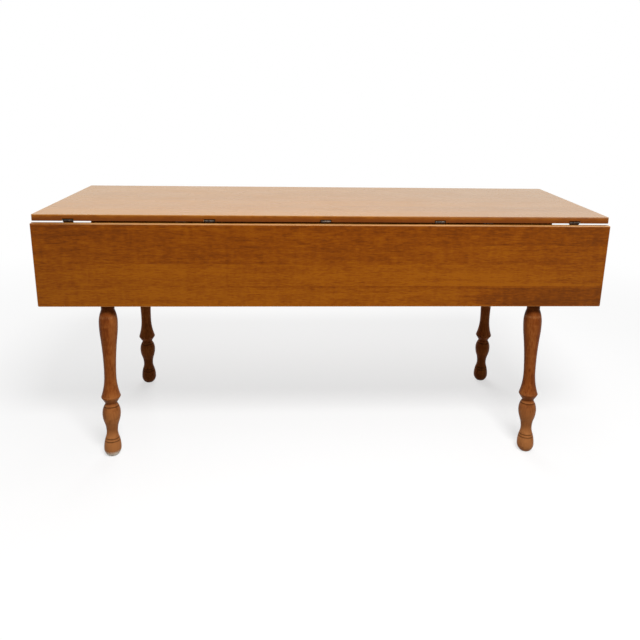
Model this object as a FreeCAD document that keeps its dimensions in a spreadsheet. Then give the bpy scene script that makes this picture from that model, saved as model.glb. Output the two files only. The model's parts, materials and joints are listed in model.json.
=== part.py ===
import FreeCAD, Part
import Sketcher
import math
import os

# Drop-leaf harvest table. X runs along the length, -Y is the front, +Z is up,
# and the origin is on the floor under the middle of the top.

Vector = FreeCAD.Vector

# Driving sizes, millimetres and degrees
SIZES = {
    # top and leaves
    "top_length": 1676.4,
    "top_width": 558.8,
    "top_thickness": 19,
    "table_height": 762,
    "leaf_width": 252,
    "leaf_gap": 1,
    "hang_angle": 3.6,
    "corner_round": 4,
    "arris_round": 1.5,
    # legs: how far in from the top's ends and sides they stand, how far they rake, and the square post
    "leg_end_inset": 188.7,
    "leg_side_inset": 22.4,
    "rake": 2.75,
    "leg_square": 60,
    "post_height": 560,
    "pommel_slope": 15,
    # turned profile: radius and height of each widest and narrowest place
    "foot_radius": 25.8,
    "foot_height": 23.5,
    "foot_under_radius": 30,
    "foot_trim": 4,
    "foot_swell": 0.68,
    "ankle_radius": 16.8,
    "ankle_height": 78,
    "bulb_radius": 27,
    "bulb_height": 137,
    "bulb_swell": 0.5,
    "waist_radius": 16.7,
    "waist_height": 169,
    "flare_radius": 29.1,
    "flare_height": 189.5,
    "lip_round": 4,
    "shaft_radius": 17.7,
    "shaft_height": 258,
    "vase_radius": 27.4,
    "vase_height": 424,
    "vase_swell": 0.27,
    "neck_radius": 19.5,
    "neck_height": 464,
    "collar_radius": 22,
    "collar_height": 496,
    "bead_width": 20,
    "bead_radius": 16.8,
    "spindle_radius": 24,
    # incised rings
    "ring_depth": 1.2,
    "ring_width": 2.4,
    "foot_ring_low": 49,
    "foot_ring_high": 57,
    "bulb_ring": 160,
    # aprons and their tenons
    "apron_height": 100,
    "apron_thickness": 19,
    "apron_setback": 6,
    "tenon_length": 24,
    "tenon_thickness": 9,
    "tenon_shoulder": 12,
    "joint_fit": 0.1,
    # corner blocks and cross rails
    "block_reach": 60,
    "block_height": 26,
    "block_screw_inset": 15,
    "block_screw_back": 22.5,
    "block_screw_sink": 1,
    "rail_x": 200,
    "rail_width": 60,
    "rail_thickness": 22,
    "rail_housing": 6,
    "rail_screw_y": 120,
    # hinges
    "hinge_end_inset": 102.2,
    "hinge_slide_gap": 85,
    "hinge_width": 28,
    "knuckle_width": 9,
    "knuckle_gap": 0.3,
    "barrel_radius": 4.3,
    "plate_thickness": 2,
    "plate_start": 5.2,
    "top_plate_reach": 26,
    "leaf_plate_reach": 40,
    "pin_radius": 1.5,
    "pin_fit": 0.05,
    "pin_inset": 4.8,
    "pin_rise": 1,
    "notch_room": 0.5,
    "notch_side_room": 2.5,
    "notch_top_room": 2,
    "hinge_screw_x": 8.5,
    "top_screw_y": 16,
    "leaf_screw_y": 27,
    # leaf slides, their guides and pegs
    "slide_leg_gap": 169.5,
    "slide_spacing": 60,
    "slide_width": 32,
    "slide_thickness": 3,
    "slide_length": 400,
    "slide_inset": 8,
    "slide_travel": 180,
    "slide_room": 0.5,
    "slide_corner": 5,
    "guide_width": 62,
    "guide_height": 14,
    "guide_length": 140,
    "guide_screw_inset": 20,
    "peg_inset": 10,
    "peg_radius": 5,
    "peg_length": 14,
    "peg_spigot_radius": 3,
    "peg_dome": 2,
    # screws
    "hinge_screw_radius": 1.6,
    "hinge_screw_head": 3.2,
    "wood_screw_radius": 2.1,
    "wood_screw_head": 4.2,
    "screw_bite": 12,
    "screw_rim": 0.3,
    "screw_tip": 3,
    "screw_slot": 0.8,
    "screw_fit": 0.1,
}

doc = FreeCAD.newDocument("harvest_table")
sheet = doc.addObject("Spreadsheet::Sheet", "sizes")
for row, (alias, number) in enumerate(SIZES.items(), 1):
    sheet.set(f"A{row}", alias)
    sheet.set(f"B{row}", str(number))
    sheet.setAlias(f"B{row}", alias)
doc.recompute()


class Size:
    """A number together with the spreadsheet expression that gives it."""

    def __init__(self, value, text):
        self.value = value
        self.text = text

    def __add__(self, other):
        other = as_size(other)
        return Size(self.value + other.value, f"({self.text} + {other.text})")

    def __sub__(self, other):
        other = as_size(other)
        return Size(self.value - other.value, f"({self.text} - {other.text})")

    def __mul__(self, other):
        other = as_size(other)
        return Size(self.value * other.value, f"({self.text} * {other.text})")

    def __truediv__(self, other):
        other = as_size(other)
        return Size(self.value / other.value, f"({self.text} / {other.text})")

    def __rsub__(self, other):
        return as_size(other) - self

    def __neg__(self):
        return self * -1

    __radd__ = __add__
    __rmul__ = __mul__


def as_size(number):
    if isinstance(number, Size):
        return number
    return Size(float(number), f"({float(number)})")


def cell(alias):
    return Size(float(sheet.get(alias)), f"sizes.{alias}")


def root(size):
    return Size(math.sqrt(size.value), f"sqrt({size.text})")


def cosine(angle):
    return Size(math.cos(math.radians(angle.value)), f"cos({angle.text})")


def sine(angle):
    return Size(math.sin(math.radians(angle.value)), f"sin({angle.text})")


# Places that several pieces share
half_length = cell("top_length") / 2
half_width = cell("top_width") / 2
underside = cell("table_height") - cell("top_thickness")
leg_x = half_length - cell("leg_end_inset")
leg_floor_y = half_width - cell("leg_side_inset")
half_post = cell("leg_square") / 2
apron_outer = half_post - cell("apron_setback")
apron_inner = apron_outer - cell("apron_thickness")
end_apron_x = leg_x + half_post - cell("apron_setback") - cell("apron_thickness") / 2
pin_y = half_width - cell("pin_inset")
pin_z = underside + cell("pin_rise")
leaf_start = cell("pin_inset") + cell("leaf_gap")
slide_far_x = leg_x - cell("slide_leg_gap")
slide_near_x = slide_far_x - cell("slide_spacing")
hinge_outer_x = half_length - cell("hinge_end_inset")
hinge_inner_x = slide_near_x - cell("hinge_slide_gap")
slide_z = underside - cell("slide_room") - cell("slide_thickness")
slide_middle = half_width - cell("slide_inset") - cell("slide_length") / 2
peg_y = half_width - cell("slide_inset") - cell("slide_length") + cell("peg_inset")
guide_inner = peg_y + cell("slide_travel") + cell("peg_radius") + cell("slide_room")
guide_middle = guide_inner + cell("guide_length") / 2

FRONT, REAR = -1, 1
LEFT, RIGHT = -1, 1
SIDES = {"front": FRONT, "rear": REAR}
HANDS = {"left": LEFT, "right": RIGHT}
HINGES = (-hinge_outer_x, -hinge_inner_x, as_size(0), hinge_inner_x, hinge_outer_x)
LEAST_CUT = 1e-6


def raked_height(outward, level):
    """Height along a raked piece at which a point that far outward of its axis reaches a level."""
    return (level - outward * sine(cell("rake"))) / cosine(cell("rake"))


def raked_reach(outward, level):
    """Distance from the table's centre line, at a level, of a raked plane that far outward of the leg axis."""
    rake = cell("rake")
    return leg_floor_y + outward / cosine(rake) - level * sine(rake) / cosine(rake)


# Building blocks: bodies, sketches and features

def new_body(label, base=(0, 0, 0), axis=(1, 0, 0), angle=0):
    """An empty body at a place, turned about an axis."""
    body = doc.addObject("PartDesign::Body", label)
    body.Label = label
    place(body, base, axis, angle)
    return body


def place(piece, base, axis, angle):
    base = [as_size(number) for number in base]
    angle = as_size(angle)
    turn = FreeCAD.Rotation(Vector(*axis), angle.value)
    piece.Placement = FreeCAD.Placement(Vector(*(number.value for number in base)), turn)
    for letter, number in zip("xyz", base):
        piece.setExpression(f"Placement.Base.{letter}", number.text)
    if angle.value:
        piece.setExpression("Placement.Rotation.Angle", angle.text)


def new_sketch(body, name, plane, offset=0):
    """A sketch on one of the body's own planes, or parallel to it at an offset."""
    offset = as_size(offset)
    sketch = body.newObject("Sketcher::SketchObject", f"{body.Name}_{name}")
    support = [feature for feature in body.Origin.OriginFeatures if feature.Role == plane][0]
    sketch.AttachmentSupport = [(support, "")]
    sketch.MapMode = "FlatFace"
    sketch.AttachmentOffset = FreeCAD.Placement(Vector(0, 0, offset.value), FreeCAD.Rotation())
    sketch.setExpression("AttachmentOffset.Base.z", offset.text)
    return sketch


def bind(sketch, constraint, size):
    index = sketch.addConstraint(constraint)
    sketch.setExpression(f"Constraints[{index}]", size.text)


def fix_point(sketch, shape, end, corner):
    for kind, size in zip(("DistanceX", "DistanceY"), corner):
        bind(sketch, Sketcher.Constraint(kind, -1, 1, shape, end, size.value), size)


def arc_between(first, last, radius, turn):
    """Arc from one point to another, with its centre to the left of the way for turn 1, to the right for -1."""
    chord = last - first
    left = Vector(-chord.y, chord.x, 0).normalize()
    rise = math.sqrt(radius ** 2 - (chord.Length / 2) ** 2)
    centre = (first + last) / 2 + left * (turn * rise)
    ends = (first, last) if turn > 0 else (last, first)
    angles = [math.atan2(point.y - centre.y, point.x - centre.x) for point in ends]
    return Part.ArcOfCircle(Part.Circle(centre, Vector(0, 0, 1), radius), *angles)


def draw_outline(sketch, corners, arcs=None):
    """Closed outline through corners; arcs gives (radius, turn) for the stretches that are round."""
    arcs = arcs or {}
    corners = [tuple(as_size(number) for number in corner) for corner in corners]
    points = [Vector(corner[0].value, corner[1].value, 0) for corner in corners]
    stretches = []
    for number, first in enumerate(points):
        last = points[(number + 1) % len(points)]
        if number in arcs:
            radius, turn = arcs[number]
            shape = sketch.addGeometry(arc_between(first, last, radius.value, turn))
            stretches.append((shape, 1, 2) if turn > 0 else (shape, 2, 1))
        else:
            shape = sketch.addGeometry(Part.LineSegment(first, last))
            stretches.append((shape, 1, 2))
    for number, (shape, start, end) in enumerate(stretches):
        following = stretches[(number + 1) % len(stretches)]
        sketch.addConstraint(Sketcher.Constraint("Coincident", shape, end, following[0], following[1]))
        fix_point(sketch, shape, start, corners[number])
        if number in arcs:
            radius = arcs[number][0]
            bind(sketch, Sketcher.Constraint("Radius", shape, radius.value), radius)
    return sketch


def draw_box(sketch, left, right, low, high):
    return draw_outline(sketch, [(left, low), (right, low), (right, high), (left, high)])


def draw_circle(sketch, centre, radius):
    centre = tuple(as_size(number) for number in centre)
    middle = Vector(centre[0].value, centre[1].value, 0)
    shape = sketch.addGeometry(Part.Circle(middle, Vector(0, 0, 1), radius.value))
    fix_point(sketch, shape, 3, centre)
    bind(sketch, Sketcher.Constraint("Radius", shape, radius.value), radius)
    return sketch


def extrude(kind, sketch, length, symmetric=True, reverse=False):
    """A pad or pocket of a sketch; a symmetric one reaches half its length each way."""
    body = sketch.getParentGeoFeatureGroup()
    feature = body.newObject(f"PartDesign::{kind}", f"{sketch.Name}_{kind.lower()}")
    feature.Profile = sketch
    feature.SideType = "Symmetric" if symmetric else "One side"
    feature.Reversed = reverse
    feature.setExpression("Length", as_size(length).text)
    return feature


def pad(sketch, length, **options):
    return extrude("Pad", sketch, length, **options)


def pocket(sketch, length, **options):
    return extrude("Pocket", sketch, length, **options)


def turn_solid(kind, sketch):
    """A revolution or groove of a sketch about its upright axis."""
    body = sketch.getParentGeoFeatureGroup()
    feature = body.newObject(f"PartDesign::{kind}", f"{sketch.Name}_{kind.lower()}")
    feature.Profile = sketch
    feature.ReferenceAxis = (sketch, ["V_Axis"])
    feature.Angle = 360
    return feature


def round_edges(body, name, radius, chosen):
    """Fillet of every edge of the body that the test chooses."""
    doc.recompute()
    base = body.Tip
    edges = [f"Edge{number}" for number, edge in enumerate(base.Shape.Edges, 1) if chosen(edge)]
    fillet = body.newObject("PartDesign::Fillet", f"{body.Name}_{name}")
    fillet.Base = (base, edges)
    fillet.setExpression("Radius", radius.text)


def upright(edge):
    """An edge that is taller than it is long in plan."""
    return edge.BoundBox.ZLength > edge.BoundBox.XLength + edge.BoundBox.YLength


def flat(edge):
    return not upright(edge)


def drill(label, blank, tool):
    """The finished piece: a blank with its screw holes cut."""
    piece = doc.addObject("Part::Cut", label)
    piece.Base = blank
    piece.Tool = tool
    piece.Label = label
    return piece


# Screws: a group is one piece of separate solids, and the same screws grown by the fit cut its holes

def screw_solid(length, shank, head, grow):
    """A countersunk wood screw along +Z with the flat of its head at zero."""
    rim = sheet.get("screw_rim")
    neck = rim + head - shank
    shoulder = length - sheet.get("screw_tip")
    profile = [Vector(0, 0, -grow), Vector(head + grow, 0, -grow), Vector(head + grow, 0, rim),
               Vector(shank + grow, 0, neck + grow), Vector(shank + grow, 0, shoulder + grow),
               Vector(0, 0, length + grow), Vector(0, 0, -grow)]
    return Part.Face(Part.makePolygon(profile)).revolve(Vector(), Vector(0, 0, 1), 360)


def screw_group(label, kind, length, spots, placement=None):
    """Screws pointing up from the spots, with a slot across each head, and the tool that cuts their holes."""
    placement = placement or FreeCAD.Placement()
    shank = sheet.get(f"{kind}_screw_radius")
    head = sheet.get(f"{kind}_screw_head")
    slot = sheet.get("screw_slot")
    screw = screw_solid(length.value, shank, head, 0)
    screw = screw.cut(Part.makeBox(2 * head, slot, slot, Vector(-head, -slot / 2, 0)))
    hole = screw_solid(length.value, shank, head, sheet.get("screw_fit"))
    group = doc.addObject("Part::Feature", label)
    tool = doc.addObject("Part::Feature", f"{label}_holes")
    for piece, solid in ((group, screw), (tool, hole)):
        piece.Shape = Part.makeCompound([solid.translated(Vector(*spot)) for spot in spots])
        piece.Placement = placement
    group.Label = label
    return tool


def joined(label, tools):
    compound = doc.addObject("Part::Compound", label)
    compound.Links = tools
    return compound


def hinge_top_spots(way):
    head = (underside - cell("plate_thickness")).value
    row = (pin_y - cell("top_screw_y")).value * way
    across = sheet.get("hinge_screw_x")
    return [(hinge.value + step, row, head) for hinge in HINGES for step in (-across, across)]


def hinge_leaf_spots(way):
    head = -(cell("pin_rise") + cell("plate_thickness")).value
    row = sheet.get("leaf_screw_y") * way
    across = sheet.get("hinge_screw_x")
    return [(hinge.value + step, row, head) for hinge in HINGES for step in (-across, across)]


def slide_places():
    """Name, side and X of each slide: front and rear slides pass beside each other."""
    for side, way in SIDES.items():
        yield f"{side}_left", way, (-slide_near_x if way == FRONT else -slide_far_x)
        yield f"{side}_right", way, (slide_far_x if way == FRONT else slide_near_x)


def guide_spots():
    groove = cell("slide_width") + cell("slide_room") * 2
    across = (groove / 2 + (cell("guide_width") - groove) / 4).value
    along = (cell("guide_length") / 2 - cell("guide_screw_inset")).value
    head = (underside - cell("guide_height")).value
    return [(x.value + step, way * guide_middle.value + row, head)
            for name, way, x in slide_places() for step in (-across, across) for row in (-along, along)]


def block_bottom():
    return raked_height(as_size(0), underside) - cell("block_height")


def block_spots():
    """One screw up through each corner block, its head sunk in the block's lower face."""
    x = (leg_x - half_post - cell("block_screw_inset")).value
    outward = apron_inner - cell("block_screw_back")
    y = raked_reach(outward, underside).value
    face = outward * sine(cell("rake")) + block_bottom() * cosine(cell("rake"))
    head = (face + cell("block_screw_sink")).value
    return [(hand * x, way * y, head) for hand in HANDS.values() for way in SIDES.values()]


def rail_spots():
    head = (underside - cell("rail_thickness")).value
    return [(hand * sheet.get("rail_x"), way * sheet.get("rail_screw_y"), head)
            for hand in HANDS.values() for way in SIDES.values()]


def hang_placement(way):
    turn = FreeCAD.Rotation(Vector(-way, 0, 0), 90 + sheet.get("hang_angle"))
    return FreeCAD.Placement(Vector(0, way * pin_y.value, pin_z.value), turn)


bite = cell("screw_bite")
hinge_screw_length = cell("plate_thickness") + bite
hinge_top_holes = {side: screw_group(f"hinge_top_screws_{side}", "hinge", hinge_screw_length,
                                     hinge_top_spots(way))
                   for side, way in SIDES.items()}
hinge_leaf_holes = {side: screw_group(f"hinge_leaf_screws_{side}", "hinge", hinge_screw_length,
                                      hinge_leaf_spots(way), hang_placement(way))
                    for side, way in SIDES.items()}
guide_holes = screw_group("guide_screws", "wood", cell("guide_height") + bite, guide_spots())
block_holes = screw_group("corner_block_screws", "wood", cell("block_height") + bite, block_spots())
rail_holes = screw_group("cross_rail_screws", "wood", cell("rail_thickness") + bite, rail_spots())


# Top: one glued panel, notched under both long edges for the hinge barrels

def make_table_top():
    body = new_body("table_top_blank", (0, 0, underside))
    draw_box(new_sketch(body, "panel", "XY_Plane"), -half_length, half_length, -half_width, half_width)
    pad(body.Group[-1], cell("top_thickness"), symmetric=False)
    round_edges(body, "corners", cell("corner_round"), upright)
    round_edges(body, "arrises", cell("arris_round"), flat)
    notch_half = cell("hinge_width") / 2 + cell("notch_side_room")
    notch_depth = cell("pin_inset") + cell("barrel_radius") + cell("notch_room")
    notches = new_sketch(body, "notches", "XY_Plane")
    for way in SIDES.values():
        for hinge in HINGES:
            inner, outer = way * (half_width - notch_depth), way * (half_width + cell("notch_room"))
            draw_box(notches, hinge - notch_half, hinge + notch_half, inner, outer)
    notch_height = cell("pin_rise") + cell("barrel_radius") + cell("notch_top_room")
    pocket(notches, notch_height, symmetric=False, reverse=True)
    tools = [*hinge_top_holes.values(), guide_holes, block_holes, rail_holes]
    return drill("table_top", body, joined("table_top_holes", tools))


# Leaves: drawn level about the hinge pin, then hung

def make_leaf(side, way):
    body = new_body(f"{side}_leaf_blank", (0, way * pin_y, pin_z), (-way, 0, 0), 90 + cell("hang_angle"))
    section = new_sketch(body, "section", "YZ_Plane")
    low = -cell("pin_rise")
    leaf_end = leaf_start + cell("leaf_width")
    draw_box(section, way * leaf_start, way * leaf_end, low, low + cell("top_thickness"))
    pad(section, cell("top_length"))
    leaf_middle = (leaf_start.value + leaf_end.value) / 2
    round_edges(body, "corners", cell("corner_round"),
                lambda edge: upright(edge) and abs(edge.CenterOfMass.y) > leaf_middle)
    round_edges(body, "arrises", cell("arris_round"), flat)
    return drill(f"{side}_leaf", body, hinge_leaf_holes[side])


# Legs: a turned profile under a square post, raked outward across the width

def spot(name):
    return cell(f"{name}_radius"), cell(f"{name}_height")


def sweep_radius(wide, narrow):
    """Radius of an arc that runs upright at one of two places and passes through the other."""
    across = wide[0] - narrow[0]
    along = wide[1] - narrow[1]
    return (across * across + along * along) / (across * 2)


def leg_profile():
    """Corners and arcs of the half outline, from the foot up."""
    corners = [(as_size(0), -cell("foot_trim"))]
    arcs = {}

    def line_to(corner):
        corners.append(corner)

    def arc_to(corner, radius, turn):
        arcs[len(corners) - 1] = (radius, turn)
        corners.append(corner)

    def ogee(wide, narrow, swell, rising):
        """Two arcs between a widest and a narrowest place; swell is the round arc's share."""
        whole = sweep_radius(wide, narrow)
        middle = tuple(a + (b - a) * swell for a, b in zip(wide, narrow))
        round_arc = (whole * swell, 1)
        hollow_arc = (whole * (1 - swell), -1)
        inward = [(middle, round_arc), (narrow, hollow_arc)]
        outward = [(middle, hollow_arc), (wide, round_arc)]
        for corner, (radius, turn) in inward if rising else outward:
            arc_to(corner, radius, turn)

    foot, ankle, bulb, waist = spot("foot"), spot("ankle"), spot("bulb"), spot("waist")
    flare, shaft, vase, neck, collar = spot("flare"), spot("shaft"), spot("vase"), spot("neck"), spot("collar")
    under = cell("foot_under_radius")
    depth = cell("foot_height") + cell("foot_trim")
    line_to((foot[0] - under + root(under * under - depth * depth), -cell("foot_trim")))
    arc_to(foot, under, 1)
    ogee(foot, ankle, cell("foot_swell"), True)
    ogee(bulb, ankle, cell("bulb_swell"), False)
    arc_to(waist, sweep_radius(bulb, waist), 1)
    line_to(flare)
    arc_to(shaft, sweep_radius(flare, shaft), -1)
    ogee(vase, shaft, cell("vase_swell"), False)
    arc_to(neck, sweep_radius(vase, neck), 1)
    arc_to(collar, sweep_radius(collar, neck), -1)
    bead_top = (collar[0], collar[1] + cell("bead_width"))
    arc_to(bead_top, cell("bead_radius"), 1)
    line_to((cell("spindle_radius"), cell("post_height")))
    line_to((as_size(0), cell("post_height")))
    return corners, arcs


def ring_surface(widest, height, radius):
    """Radius of the turned surface at a height, on the round arc beside a widest place."""
    step = height - cell(f"{widest}_height")
    return cell(f"{widest}_radius") - radius + root(radius * radius - step * step)


def cut_ring(body, name, surface, height):
    """A V groove round the leg, drawn to twice its depth so that it opens through the surface."""
    depth, width = cell("ring_depth"), cell("ring_width")
    sketch = new_sketch(body, name, "XZ_Plane")
    draw_outline(sketch, [(surface - depth, height), (surface + depth, height - width),
                          (surface + depth, height + width)])
    turn_solid("Groove", sketch)


def cut_level(body, name, way, level, depth, span, length):
    """Cut a raked piece level, taking away what lies from the level on to a depth, span to each side."""
    corners = [(way * edge, raked_height(edge, level) + more) for edge, more in
               ((-span, 0), (span, 0), (span, depth), (-span, depth))]
    pocket(draw_outline(new_sketch(body, name, "YZ_Plane"), corners), length)


def make_leg(side, way, hand_name, hand):
    body = new_body(f"leg_{side}_{hand_name}", (hand * leg_x, way * leg_floor_y, 0),
                    (way, 0, 0), cell("rake"))
    turn_solid("Revolution", draw_outline(new_sketch(body, "profile", "XZ_Plane"), *leg_profile()))
    waist, lip, shaft = (spot(name)[1].value for name in ("waist", "flare", "shaft"))
    round_edges(body, "lip", cell("lip_round"),
                lambda edge: flat(edge) and waist + lip < edge.CenterOfMass.z * 2 < lip + shaft)
    top = [(way * edge, raked_height(edge, underside)) for edge in (half_post, -half_post)]
    low = [(way * edge, cell("post_height")) for edge in (-half_post, half_post)]
    pad(draw_outline(new_sketch(body, "post", "YZ_Plane"), low + top), cell("leg_square"))
    slope = cell("pommel_slope")
    start = cell("post_height")
    pommel = [(half_post, start), (half_post + slope, start), (half_post + slope, start + slope)]
    turn_solid("Groove", draw_outline(new_sketch(body, "pommel", "XZ_Plane"), pommel))
    foot_arc = sweep_radius(spot("foot"), spot("ankle")) * cell("foot_swell")
    bulb_arc = sweep_radius(spot("bulb"), spot("waist"))
    for ring, widest, radius in (("foot_ring_low", "foot", foot_arc), ("foot_ring_high", "foot", foot_arc),
                                 ("bulb_ring", "bulb", bulb_arc)):
        cut_ring(body, ring, ring_surface(widest, cell(ring), radius), cell(ring))
    cut_level(body, "floor", way, as_size(0), -half_post, half_post, cell("leg_square"))
    fit = cell("joint_fit")
    low, high = long_tenon_heights()
    tenon_edge = apron_outer - cell("apron_thickness") / 2
    half_slot = cell("tenon_thickness") / 2 + fit
    depth = cell("tenon_length") + fit
    mortise = new_sketch(body, "long_mortise", "YZ_Plane", -hand * half_post)
    draw_box(mortise, way * (tenon_edge - half_slot), way * (tenon_edge + half_slot), low - fit, high + fit)
    pocket(mortise, depth * 2)
    low, high = end_tenon_levels()
    face, inner = -half_post - fit, depth - half_post
    corners = [(way * edge, raked_height(edge, level)) for edge, level in
               ((face, low - fit), (inner, low - fit), (inner, high + fit), (face, high + fit))]
    mortise = new_sketch(body, "end_mortise", "YZ_Plane", hand * (end_apron_x - leg_x))
    pocket(draw_outline(mortise, corners), half_slot * 2)
    return body


# Aprons: the long ones rake with the legs, the end ones stand plumb between them

def long_apron_bottom():
    return raked_height(as_size(0), underside) - cell("apron_height")


def long_tenon_heights():
    bottom = long_apron_bottom()
    return bottom + cell("tenon_shoulder"), bottom + cell("apron_height") - cell("tenon_shoulder") * 2


def end_tenon_levels():
    bottom = underside - cell("apron_height")
    return bottom + cell("tenon_shoulder"), underside - cell("tenon_shoulder") * 2


def make_long_apron(side, way):
    body = new_body(f"apron_{side}", (0, way * leg_floor_y, 0), (way, 0, 0), cell("rake"))
    bottom = long_apron_bottom()
    shoulder = leg_x - half_post
    corners = [(way * apron_outer, bottom), (way * apron_inner, bottom),
               (way * apron_inner, raked_height(apron_inner, underside)),
               (way * apron_outer, raked_height(apron_outer, underside))]
    pad(draw_outline(new_sketch(body, "board", "YZ_Plane"), corners), shoulder * 2)
    middle = apron_outer - cell("apron_thickness") / 2
    half_tenon = cell("tenon_thickness") / 2
    low, high = long_tenon_heights()
    tenon = new_sketch(body, "tenons", "YZ_Plane")
    draw_box(tenon, way * (middle - half_tenon), way * (middle + half_tenon), low, high)
    pad(tenon, (shoulder + cell("tenon_length")) * 2)
    room = cell("slide_room")
    for name, slide_way, x in slide_places():
        if slide_way == way:
            cut_top_slot(body, f"slot_{name}", way, x, cell("slide_width") + room * 2, slide_z - room,
                         apron_inner - room, apron_outer + room)
    fit = cell("joint_fit")
    for name, hand in HANDS.items():
        cut_top_slot(body, f"housing_{name}", way, hand * cell("rail_x"), cell("rail_width") + fit * 2,
                     underside - cell("rail_thickness") - fit, apron_inner - fit,
                     apron_inner + cell("rail_housing"))
    return body


def cut_top_slot(body, name, way, x, width, floor_level, inner, outer):
    """A slot in an apron's upper edge with a level floor, between two distances outward of the leg axis."""
    top = underside + cell("apron_thickness")
    corners = [(way * edge, raked_height(edge, level)) for edge, level in
               ((inner, floor_level), (outer, floor_level), (outer, top), (inner, top))]
    pocket(draw_outline(new_sketch(body, name, "YZ_Plane", x), corners), width)


def make_end_apron(hand_name, hand):
    body = new_body(f"apron_{hand_name}", (hand * end_apron_x, 0, 0))
    for name, edge, (low, high), thickness in (
            ("board", -half_post, (underside - cell("apron_height"), underside), cell("apron_thickness")),
            ("tenons", cell("tenon_length") - half_post, end_tenon_levels(), cell("tenon_thickness"))):
        lower, upper = raked_reach(edge, low), raked_reach(edge, high)
        corners = [(-lower, low), (lower, low), (upper, high), (-upper, high)]
        pad(draw_outline(new_sketch(body, name, "YZ_Plane"), corners), thickness)
    return body


# Corner blocks fill the corner behind each post; cross rails tie the long aprons

def make_corner_block(side, way, hand_name, hand):
    label = f"corner_block_{side}_{hand_name}"
    body = new_body(f"{label}_blank", (0, way * leg_floor_y, 0), (way, 0, 0), cell("rake"))
    post_x = leg_x - half_post
    end_x = end_apron_x - cell("apron_thickness") / 2
    reach = cell("block_reach")
    plan = [(post_x, apron_inner), (post_x - reach, apron_inner), (end_x, -half_post - reach),
            (end_x, -half_post), (post_x, -half_post)]
    sketch = new_sketch(body, "plan", "XY_Plane", block_bottom())
    draw_outline(sketch, [(hand * x, way * outward) for x, outward in plan])
    pad(sketch, cell("block_height") * 2, symmetric=False)
    cut_level(body, "top", way, underside, cell("block_height") * 2, half_width, cell("top_length"))
    return drill(label, body, block_holes)


def make_cross_rail(hand_name, hand):
    label = f"cross_rail_{hand_name}"
    body = new_body(f"{label}_blank", (hand * cell("rail_x"), 0, 0))
    edge = apron_inner + cell("rail_housing") - cell("joint_fit")
    low = underside - cell("rail_thickness")
    lower, upper = raked_reach(edge, low), raked_reach(edge, underside)
    corners = [(-lower, low), (lower, low), (upper, underside), (-upper, underside)]
    pad(draw_outline(new_sketch(body, "board", "YZ_Plane"), corners), cell("rail_width"))
    return drill(label, body, rail_holes)


# Hinges: plates under the top and leaf, knuckles on a pin let into the top's lower edge

def make_top_plate(label, way, x):
    body = new_body(f"{label}_blank", (x, way * pin_y, pin_z))
    high = -cell("pin_rise")
    low = high - cell("plate_thickness")
    plate = new_sketch(body, "plate", "YZ_Plane")
    draw_box(plate, as_size(0), -way * cell("top_plate_reach"), low, high)
    pad(plate, cell("hinge_width"))
    barrel, gap = cell("barrel_radius"), cell("knuckle_gap")
    pad(draw_circle(new_sketch(body, "barrel", "YZ_Plane"), (0, 0), barrel), cell("hinge_width"))
    room = draw_circle(new_sketch(body, "middle", "YZ_Plane"), (0, 0), barrel + gap)
    pocket(room, cell("knuckle_width") + gap * 2)
    bore = draw_circle(new_sketch(body, "bore", "YZ_Plane"), (0, 0), cell("pin_radius") + cell("pin_fit"))
    pocket(bore, cell("hinge_width") * 2)
    return drill(label, body, hinge_top_holes["front" if way == FRONT else "rear"])


def make_leaf_plate(label, way, x):
    body = new_body(f"{label}_blank", (x, way * pin_y, pin_z), (-way, 0, 0), 90 + cell("hang_angle"))
    high = -cell("pin_rise")
    low = high - cell("plate_thickness")
    plate = new_sketch(body, "plate", "YZ_Plane")
    draw_box(plate, way * cell("plate_start"), way * cell("leaf_plate_reach"), low, high)
    pad(plate, cell("hinge_width"))
    tongue = new_sketch(body, "tongue", "YZ_Plane")
    draw_box(tongue, as_size(0), way * (cell("plate_start") + cell("plate_thickness")), low, high)
    pad(tongue, cell("knuckle_width"))
    barrel = draw_circle(new_sketch(body, "barrel", "YZ_Plane"), (0, 0), cell("barrel_radius"))
    pad(barrel, cell("knuckle_width"))
    bore = draw_circle(new_sketch(body, "bore", "YZ_Plane"), (0, 0), cell("pin_radius") + cell("pin_fit"))
    pocket(bore, cell("hinge_width"))
    return drill(label, body, hinge_leaf_holes["front" if way == FRONT else "rear"])


def make_hinge_pins(side, way):
    """The five pins of one long edge, as separate solids in one piece."""
    pins = []
    for number, x in enumerate(HINGES, 1):
        pin = doc.addObject("Part::Cylinder", f"hinge_pin_{side}_{number}")
        pin.setExpression("Radius", cell("pin_radius").text)
        pin.setExpression("Height", cell("hinge_width").text)
        place(pin, (x - cell("hinge_width") / 2, way * pin_y, pin_z), (0, 1, 0), 90)
        pins.append(pin)
    return joined(f"hinge_pins_{side}", pins)


# Leaf slides: flat bars that draw out under a raised leaf, each in a grooved guide and with a peg that stops it

def make_slide(name, way, x):
    body = new_body(f"leaf_slide_{name}", (x, way * slide_middle, slide_z))
    half_bar = cell("slide_width") / 2
    half_run = cell("slide_length") / 2
    bar = new_sketch(body, "bar", "XY_Plane")
    draw_box(bar, -half_bar, half_bar, -half_run, half_run)
    pad(bar, cell("slide_thickness"), symmetric=False)
    round_edges(body, "corners", cell("slide_corner"), upright)
    hole = new_sketch(body, "peg_hole", "XY_Plane")
    draw_circle(hole, (0, way * (peg_y - slide_middle)), cell("peg_spigot_radius") + cell("pin_fit"))
    pocket(hole, cell("slide_thickness") * 2)
    return body


def make_peg(name, way, x):
    body = new_body(f"slide_peg_{name}", (x, way * peg_y, slide_z))
    spigot, radius, dome = cell("peg_spigot_radius"), cell("peg_radius"), cell("peg_dome")
    low = -cell("peg_length")
    corners = [(0, low), (radius - dome, low), (radius, low + dome), (radius, 0), (spigot, 0),
               (spigot, cell("slide_thickness")), (0, cell("slide_thickness"))]
    profile = draw_outline(new_sketch(body, "profile", "XZ_Plane"), corners, {1: (dome, 1)})
    turn_solid("Revolution", profile)
    return body


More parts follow.
